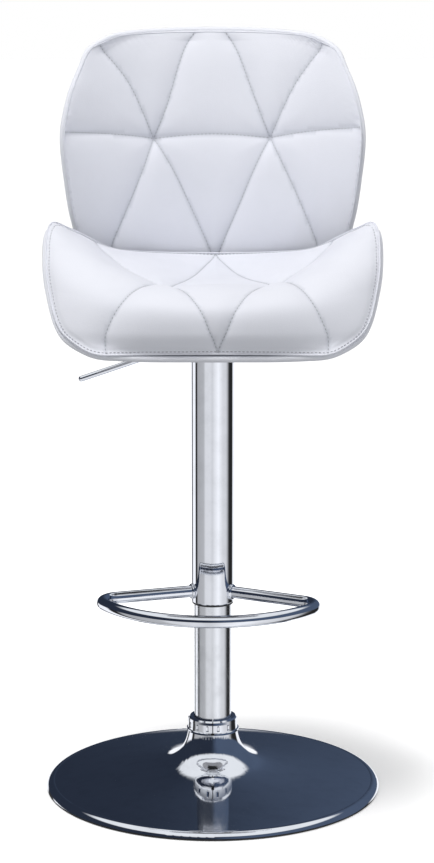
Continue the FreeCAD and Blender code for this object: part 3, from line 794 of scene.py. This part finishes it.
    def build(self) -> bpy.types.Object:
        """Makes the closed pad: the settled cover, its turned-in side and its back.

        Returns:
            The new object, with the attribute "seam" that fades away from every seam and masks the painted
            seam shade.
        """
        self.triangulate()
        cover = self.sunk()
        cover = self.puff(cover)
        self.surface = cover
        rim_uv = self.uv[self.rim_indices]
        around = len(rim_uv)
        rings = []
        for scale in (0.995, 0.8, 0.5, 0.2):
            along = (rim_uv[:, 1] * scale + 1) / 2
            rings.append(self.shell.lifted(rim_uv[:, 0] * scale, along, self.back_mm))
        points = np.concatenate([cover] + rings) * MM
        ring_index = [self.rim_indices] + [len(cover) + k * around + np.arange(around) for k in range(4)]
        faces = [tuple(t) for t in self.triangles]
        for first, second in zip(ring_index, ring_index[1:]):
            nxt = np.roll(np.arange(around), -1)
            faces += [tuple(q) for q in np.stack([first, second, second[nxt], first[nxt]], -1)]
        faces += ladder_faces(ring_index[-1])
        piece = mesh_object(self.name, points, faces)
        self.mark(piece)
        finer = piece.modifiers.new("finer", "SUBSURF")
        finer.levels = 1
        finer.render_levels = 1
        return piece

    def mark(self, piece: bpy.types.Object) -> None:
        """Creases the seam edges and stores how near each vertex is to a seam, the mask of the leather's
        painted seam shade.
        """
        mesh = piece.data
        plain = self.front(self.uv[:, 0], self.uv[:, 1])
        seam = self.seam_distance(plain)[0]
        near = np.zeros(len(mesh.vertices), np.float32)
        # mask of painted shade: 1 on a seam and fading within about 2 mm, it darkens the leather colour there
        near[: len(seam)] = np.exp(-((seam / 1.6) ** 2))
        mesh.attributes.new("seam", "FLOAT", "POINT").data.foreach_set("value", near)
        wanted = {tuple(sorted(map(int, edge))) for edge in self.seam_edges}
        pairs = np.empty(len(mesh.edges) * 2, np.int32)
        mesh.edges.foreach_get("vertices", pairs)
        pairs = np.sort(pairs.reshape(-1, 2), axis=1)
        crease = np.array([1.0 if tuple(p) in wanted else 0.0 for p in pairs.tolist()], np.float32)
        mesh.attributes.new("crease_edge", "FLOAT", "EDGE").data.foreach_set("value", 0.8 * crease)

    def seam_runs(self) -> list:
        """Every seam as 3-D points with the cover's normals, in millimetres."""
        normal = vertex_normals(self.surface, self.triangles)
        return [(self.surface[path], normal[path]) for path in self.seam_paths]

    def edge_runs(self) -> list:
        """Closed line on the cover a few millimetres inside its rim, with normals, if it is stitched.

        Rim places drawn in towards the middle are put on the finished cover at its nearest point.
        """
        if self.valley.edge_depth == 0:
            return []
        rim = self.outline.loop(420, self.chart)
        shrink = 1 - self.valley.edge_inset / np.array(self.chart)
        plain = self.front(rim[:, 0] * shrink[0], rim[:, 1] * shrink[1])
        tree = BVHTree.FromPolygons(self.surface.tolist(), self.triangles.tolist())
        found = [tree.find_nearest(Vector(place)) for place in plain]
        line = np.array([tuple(hit[0]) for hit in found])
        normal = np.array([tuple(hit[1]) for hit in found])
        return [(np.concatenate([line, line[:1]]), np.concatenate([normal, normal[:1]]))]

    def rim_run(self) -> tuple:
        """The cover's rim as 3-D points with normals, in millimetres."""
        normal = vertex_normals(self.surface, self.triangles)
        return self.surface[self.rim_indices], normal[self.rim_indices]


@dataclass
class StitchRow:
    """Rows of short thread capsules that dip at both ends into the cover."""

    name: str
    length_mm: float = 3.4
    pitch_mm: float = 5.0
    radius_mm: float = 0.55
    sides: int = 6

    def capsule(self) -> tuple:
        """One stitch along x: rings whose radius closes at the ends and whose line arches.

        Returns:
            Points (k, 3) in millimetres and faces.
        """
        rings = 6
        t = np.linspace(-1, 1, rings)
        radius = self.radius_mm * np.sqrt(np.maximum(1 - t**2 * 0.92, 0.05))
        angle = np.linspace(0, 2 * np.pi, self.sides, endpoint=False)
        x = np.repeat(t * self.length_mm / 2, self.sides)
        y = np.outer(radius, np.cos(angle)).ravel()
        z = (np.outer(radius, np.sin(angle)) - 0.35 * t[:, None] ** 2).ravel()
        faces = [tuple(q) for q in ring_faces(rings, self.sides)]
        faces.append(tuple(range(self.sides))[::-1])
        faces.append(tuple((rings - 1) * self.sides + np.arange(self.sides)))
        return np.stack([x, y, z], -1), faces

    def build(self, runs: list, lift_mm: float = 0.25) -> bpy.types.Object:
        """Sets stitches evenly along every run.

        Args:
            runs: pairs of (n, 3) points and (n, 3) normals, in millimetres.
            lift_mm: how high the thread's middle lies over the cover.

        Returns:
            One mesh with all stitches.
        """
        shape, shape_faces = self.capsule()
        points, faces = [], []
        for line, normal in runs:
            length = np.concatenate([[0], np.cumsum(np.linalg.norm(np.diff(line, axis=0), axis=1))])
            count = max(1, int(length[-1] / self.pitch_mm) - 1)
            at = (np.arange(count) + 0.75) * length[-1] / (count + 0.5)
            middle = np.stack([np.interp(at, length, line[:, k]) for k in range(3)], -1)
            ahead = np.stack([np.interp(at + 1.0, length, line[:, k]) for k in range(3)], -1)
            behind = np.stack([np.interp(at - 1.0, length, line[:, k]) for k in range(3)], -1)
            up = unit(np.stack([np.interp(at, length, normal[:, k]) for k in range(3)], -1))
            run = unit(ahead - behind)
            side = unit(np.cross(up, run))
            up = np.cross(run, side)
            axes = np.stack([run, side, up], 1)
            placed = np.einsum("kc,ncx->nkx", shape, axes) + (middle + up * lift_mm)[:, None]
            base = sum(len(p) for p in points)
            points.append(placed.reshape(-1, 3))
            for k in range(count):
                start = base + k * len(shape)
                faces += [tuple(i + start for i in face) for face in shape_faces]
        return mesh_object(self.name, np.concatenate(points) * MM, faces)


@dataclass
class Piping:
    """Round cord in a leather sleeve that closes the joint between a pad and its shell."""

    name: str
    radius_mm: float = 1.2
    sides: int = 10

    def build(self, line: Array, normal: Array) -> bpy.types.Object:
        """Sweeps a circle round a closed line.

        Args:
            line: (n, 3) closed line in millimetres.
            normal: (n, 3) directions away from the cover.

        Returns:
            The new object.
        """
        for _ in range(6):
            line = (np.roll(line, 1, 0) + 2 * line + np.roll(line, -1, 0)) / 4
        run = unit(np.roll(line, -1, 0) - np.roll(line, 1, 0))
        side = unit(np.cross(normal, run))
        up = np.cross(run, side)
        angle = np.linspace(0, 2 * np.pi, self.sides, endpoint=False)
        circle = np.cos(angle)[None, :, None] * side[:, None] + np.sin(angle)[None, :, None] * up[:, None]
        points = line[:, None] + self.radius_mm * circle
        rings = np.concatenate([points, points[:1]]).reshape(-1, 3)
        faces = ring_faces(len(line) + 1, self.sides) % (len(line) * self.sides)
        return mesh_object(self.name, rings[: len(line) * self.sides] * MM, faces)


# ------------------------------------------------------------------ seat and back
SEAT_SHELL = BentShell(
    stations=(
        (-200, 616.5, -186, 617.5, 151),
        (-172, 616.5, -158, 642, 192),
        (-140, 616.5, -116, 690, 213),
        (-104, 616.5, -80, 734, 220.5),
        (-62, 616.5, -45, 767, 217.5),
        (-5, 616.5, -10, 757, 197),
        (50, 616.5, 30, 740, 174),
        (98, 617.5, 66, 725, 155),
        (136, 622, 102, 714, 135),
    ),
    flat=0.38,
    power=2.0,
)
BACK_SHELL = BentShell(
    stations=(
        (176, 668, 138, 682, 128),
        (183, 712, 106, 714, 176),
        (189, 760, 90, 757, 192),
        (196, 815, 86, 812, 201),
        (203, 870, 91, 872, 206),
        (210, 922, 110, 921, 197),
        (216, 962, 134, 956, 183),
        (219, 988, 154, 983, 169),
        (221, 1004, 172, 1000, 142),
    ),
    flat=0.0,
    power=2.3,
)
SEAT_LEFT_TUFT = (-0.29, 0.54)
SEAT_RIGHT_TUFT = (0.39, 0.54)
SEAT_SEAMS = (
    (SEAT_LEFT_TUFT, (0.03, 0.555), SEAT_RIGHT_TUFT),
    (SEAT_LEFT_TUFT, (-0.13, 0.77), (0.03, 1.0)),
    (SEAT_RIGHT_TUFT, (0.19, 0.77), (0.03, 1.0)),
    (SEAT_LEFT_TUFT, (-0.17, 0.39), (-0.07, 0.23), (0.04, 0.0)),
    (SEAT_RIGHT_TUFT, (0.23, 0.38), (0.13, 0.22), (0.04, 0.0)),
    (SEAT_LEFT_TUFT, (-0.45, 0.36), (-0.60, 0.21), (-0.86, 0.0)),
    (SEAT_RIGHT_TUFT, (0.51, 0.36), (0.67, 0.19), (0.93, 0.0)),
    (SEAT_LEFT_TUFT, (-0.62, 0.64), (-1.0, 0.80)),
    (SEAT_RIGHT_TUFT, (0.66, 0.63), (1.0, 0.78)),
)
BACK_LEFT_TUFT = (-0.386, 0.484)
BACK_RIGHT_TUFT = (0.374, 0.486)
BACK_SEAMS = (
    (BACK_LEFT_TUFT, (0.0, 0.494), BACK_RIGHT_TUFT),
    (BACK_LEFT_TUFT, (-0.70, 0.498), (-1.0, 0.507)),
    (BACK_RIGHT_TUFT, (0.70, 0.508), (1.0, 0.522)),
    (BACK_LEFT_TUFT, (-0.587, 0.652), (-0.749, 0.758), (-1.0, 0.925)),
    (BACK_LEFT_TUFT, (-0.294, 0.634), (-0.18, 1.0)),
    (BACK_RIGHT_TUFT, (0.25, 0.69), (0.126, 1.0)),
    (BACK_RIGHT_TUFT, (0.58, 0.652), (0.74, 0.762), (1.0, 0.95)),
    (BACK_LEFT_TUFT, (-0.537, 0.338), (-0.785, 0.14), (-0.95, 0.0)),
    (BACK_LEFT_TUFT, (-0.206, 0.321), (-0.015, 0.11), (0.02, 0.0)),
    (BACK_RIGHT_TUFT, (0.233, 0.328), (0.051, 0.11), (0.02, 0.0)),
    (BACK_RIGHT_TUFT, (0.552, 0.349), (0.80, 0.15), (0.96, 0.0)),
)


@dataclass
class Upholstery:
    """Seat and back: quilted pads on wrapped shells, with stitches and piping."""

    # the second colour is painted shade, mixed into the leather along the seam creases
    leather: Leather = Leather("white_leather", (0.785, 0.80, 0.865), (0.60, 0.62, 0.68))
    # painted light: the wrap is the same white leather as the pad, given a lighter colour to make up for the
    # little light on its outward-facing band
    wrap: Leather = Leather("white_leather_wrap", (0.81, 0.825, 0.88), (0.60, 0.62, 0.68), 0.46, 0.2)
    thread: Thread = Thread("white_thread", (0.44, 0.45, 0.49))
    body: str = "carriage"
    piping_mm: dict = field(default_factory=lambda: {"seat": 1.2, "back": 0.8})

    def pads(self) -> tuple:
        """The seat's pad and the back's pad."""
        seat = QuiltedPad(
            name="seat_cushion",
            node="seat_pad",
            shell=SEAT_SHELL,
            middle=((-200, 627.5), (-208, 655), (-197, 686), (-152, 700), (-90, 698), (-20, 692),
                    (50, 693), (104, 700), (134, 708)),
            power=2.6,
            tufts=(SEAT_LEFT_TUFT, SEAT_RIGHT_TUFT),
            seams=SEAT_SEAMS,
            gathers=((-1.0, 0.52), (1.0, 0.52)),
        )
        back = QuiltedPad(
            name="back_cushion",
            node="back_pad",
            shell=BACK_SHELL,
            middle=((146, 670), (143, 712), (144, 760), (150, 815), (162, 870), (177, 922),
                    (190, 962), (200, 986), (207, 1001)),
            power=2.3,
            tufts=(BACK_LEFT_TUFT, BACK_RIGHT_TUFT),
            seams=BACK_SEAMS,
            gathers=((-1.0, 0.53), (1.0, 0.55), (-0.99, 0.97), (0.99, 0.97)),
            valley=Valley(edge_depth=0.0),
            chart=(225.0, 175.0),
        )
        return seat, back

    def dress(self, piece: bpy.types.Object, material: bpy.types.Material) -> None:
        """Gives a piece its material and slot and lets it ride on the seat's carriage."""
        piece.data.materials.append(material)
        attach(piece, self.body)
        LOG.info("%s: %d faces", piece.name, len(piece.data.polygons))

    def build(self) -> None:
        """Makes and dresses every soft piece."""
        leather, wrap, thread = self.leather.make(), self.wrap.make(), self.thread.make()
        for pad in self.pads():
            piece = pad.build()
            self.dress(piece, leather)
            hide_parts(pad.node)
            part = pad.name.split("_")[0]
            stitches = StitchRow(part + "_quilt_stitches").build(pad.seam_runs() + pad.edge_runs())
            self.dress(stitches, thread)
            line, normal = pad.rim_run()
            piping = Piping(part + "_piping", self.piping_mm[part]).build(line, normal)
            self.dress(piping, leather)
        shells = (("seat", SEAT_SHELL, (250.0, 215.0)), ("back", BACK_SHELL, (235.0, 180.0)))
        for part, shell, chart in shells:
            piece = WrappedShell(part + "_shell_wrap", part + "_shell", shell, chart=chart).build()
            self.dress(piece, wrap)
            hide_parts(part + "_shell")


# ------------------------------------------------------------------ metal, plastic and rubber
@dataclass
class Pedestal:
    """Everything under the seat: the CAD parts keep their shapes and get their finishes."""

    finishes: tuple = (
        ("chrome", Hardware("polished_chrome", FinishKind.POLISHED, (0.86, 0.87, 0.90), 0.045)),
        ("satin_steel", Hardware("satin_column", FinishKind.SATIN, (0.83, 0.84, 0.86), 0.2)),
        ("ground_steel", Hardware("ground_steel", FinishKind.GROUND, (0.62, 0.63, 0.64), 0.22)),
        ("zinc_steel", Hardware("zinc_fastener", FinishKind.SATIN, (0.66, 0.67, 0.66), 0.34)),
        ("black_steel", Hardware("black_powder_coat", FinishKind.POWDER, (0.016, 0.016, 0.018), 0.5)),
        ("black_plastic", Hardware("black_moulding", FinishKind.MOULDED, (0.014, 0.014, 0.015), 0.45)),
        ("black_rubber", Hardware("black_rubber", FinishKind.RUBBER, (0.02, 0.02, 0.02), 0.75)),
    )

    def build(self) -> None:
        """Puts each finish on the CAD nodes of its slot."""
        slots = {part["node"]: part["material_slot"] for part in frame["record"]["subparts"]}
        for slot, finish in self.finishes:
            material = finish.make()
            names = [node for node, its_slot in slots.items() if its_slot == slot]
            for node in names:
                piece = frame["nodes"][node]
                piece.data.materials.clear()
                piece.data.materials.append(material)
            LOG.info("%s: %s", finish.name, ", ".join(names))


# ------------------------------------------------------------------ studio
@dataclass
class Studio:
    """Pale floor, soft lights, a white surround and the camera."""

    camera_distance: float = 3.5
    camera_height: float = 1.2036
    camera_pitch: float = 11.545
    lens: float = 112.7
    shift: float = 0.0049
    floor_size: float = 30.0
    world_light: float = 0.25
    side_light: float = 0.85
    ceiling_edge: tuple = (-0.06, 0.02)
    softbox_edge: tuple = (0.64, 0.74)
    ceiling_left: tuple = (0.022, 0.030, 0.050)
    ceiling_right: tuple = (0.075, 0.105, 0.17)
    bands: tuple = (
        (-180, 1.0), (-153, 1.0), (-149, 0.04), (-138, 0.04), (-133, 1.0), (-109, 1.0), (-104, 0.02),
        (-95, 0.02), (-88, 0.42), (-50, 0.48), (-40, 0.74), (-15, 0.76), (-2, 0.68), (10, 0.82),
        (30, 1.0), (55, 0.74), (74, 0.70), (84, 0.50), (94, 0.10), (101, 0.02), (128, 0.02),
        (136, 0.95), (179, 1.0),
    )

    def floor(self) -> None:
        """Large pale floor, slightly toned by soft noise."""
        half = self.floor_size / 2
        corners = np.array([(-half, -half, 0), (half, -half, 0), (half, half, 0), (-half, half, 0)], float)
        piece = mesh_object("floor", corners, [(0, 1, 2, 3)], smooth=False)
        piece.visible_glossy = False
        piece.visible_diffuse = False
        material = bpy.data.materials.new("pale_floor")
        material.use_nodes = True
        sketch = NodeSketch(material.node_tree)
        place = sketch.add("ShaderNodeTexCoord").outputs["Object"]
        colour = sketch.between(sketch.noise(place, 3.0), (0.94, 0.94, 0.95), (0.96, 0.96, 0.965))
        away = sketch.add("ShaderNodeVectorMath", {0: place}, operation="LENGTH").outputs["Value"]
        glow = sketch.smooth(away, 0.235, 0.40, 0.36, 0.74)
        shader = sketch.add(
            "ShaderNodeBsdfPrincipled",
            {
                "Base Color": colour,
                "Roughness": 0.9,
                "Emission Color": (1, 1, 1, 1),
                "Emission Strength": glow,
            },
        )
        sketch.add("ShaderNodeOutputMaterial", {"Surface": shader.outputs[0]})
        piece.data.materials.append(material)

    def surround(self) -> None:
        """World light: plain white to the eye, banded for reflections.

        Reflections see a ring of bands by compass angle below the ceiling's edge, a dark blue
        ceiling above it and a white softbox overhead, as in a product studio.
        """
        world = bpy.data.worlds.new("studio")
        bpy.context.scene.world = world
        world.use_nodes = True
        sketch = NodeSketch(world.node_tree)
        direction = sketch.add("ShaderNodeTexCoord").outputs["Generated"]
        split = sketch.add("ShaderNodeSeparateXYZ", {0: direction})
        x, y, z = split.outputs
        turn = sketch.math("ARCTAN2", x, sketch.math("MULTIPLY", y, -1.0))
        turn = sketch.math("MULTIPLY_ADD", turn, 0.5 / math.pi, 0.5)
        ramp = sketch.add("ShaderNodeValToRGB", {0: turn})
        stops = ramp.color_ramp.elements
        while len(stops) < len(self.bands):
            stops.new(0.5)
        for stop, (degrees, value) in zip(stops, self.bands):
            stop.position = degrees / 360 + 0.5
            stop.color = (1.05 * value, 1.07 * value, 1.12 * value, 1.0)
        dark = sketch.between(sketch.smooth(x, -0.15, 0.35), self.ceiling_left, self.ceiling_right)
        reflected = sketch.between(sketch.smooth(z, *self.ceiling_edge), ramp.outputs[0], dark)
        reflected = sketch.between(sketch.smooth(z, *self.softbox_edge), reflected, (0.86, 0.89, 0.93))
        path = sketch.add("ShaderNodeLightPath")
        sideways = sketch.smooth(sketch.math("ABSOLUTE", x), 0.45, 0.95)
        diffused = sketch.between(sideways, (self.world_light,) * 3, (self.side_light,) * 3)
        seen = sketch.between(path.outputs["Is Glossy Ray"], diffused, reflected)
        soft = sketch.add("ShaderNodeBackground", {"Color": seen, "Strength": 1.0})
        plain = sketch.add("ShaderNodeBackground", {"Color": (1, 1, 1, 1), "Strength": 1.0})
        mixed = sketch.add("ShaderNodeMixShader", {0: path.outputs["Is Camera Ray"]})
        sketch.tree.links.new(soft.outputs[0], mixed.inputs[1])
        sketch.tree.links.new(plain.outputs[0], mixed.inputs[2])
        sketch.add("ShaderNodeOutputWorld", {"Surface": mixed.outputs[0]})

    def lamp(self, name: str, place: tuple, target: tuple, size: float, power: float, colour: tuple) -> None:
        """Square area light aimed at a point."""
        light = bpy.data.lights.new(name, "AREA")
        light.size = size
        light.energy = power
        light.color = colour
        lamp = bpy.data.objects.new(name, light)
        lamp.location = place
        lamp.rotation_euler = (Vector(target) - Vector(place)).to_track_quat("-Z", "Y").to_euler()
        lamp.visible_glossy = False
        bpy.context.scene.collection.objects.link(lamp)

    def camera(self) -> None:
        """Camera straight in front, pitched down at the stool."""
        data = bpy.data.cameras.new("camera")
        data.lens = self.lens
        data.shift_x = self.shift
        camera = bpy.data.objects.new("camera", data)
        camera.location = (0, -self.camera_distance, self.camera_height)
        camera.rotation_euler = (math.radians(90 - self.camera_pitch), 0, 0)
        bpy.context.scene.collection.objects.link(camera)
        bpy.context.scene.camera = camera

    def build(self) -> None:
        """Makes the whole studio."""
        self.floor()
        self.surround()
        middle = (0, 0, 0.75)
        self.lamp("key", (-0.6, -0.7, 3.6), middle, 1.2, 70, (1.0, 0.99, 0.98))
        self.lamp("fill", (0.7, -3.3, 0.3), middle, 1.8, 26, (0.93, 0.96, 1.0))
        self.camera()
        view = bpy.context.scene.view_settings
        view.view_transform = "Standard"
        view.look = "None"


def main() -> None:
    """Builds the stool's looks in order."""
    logging.basicConfig(level=logging.INFO, format="%(message)s")
    Studio().build()
    Pedestal().build()
    Upholstery().build()


if __name__ == "__main__":
    main()
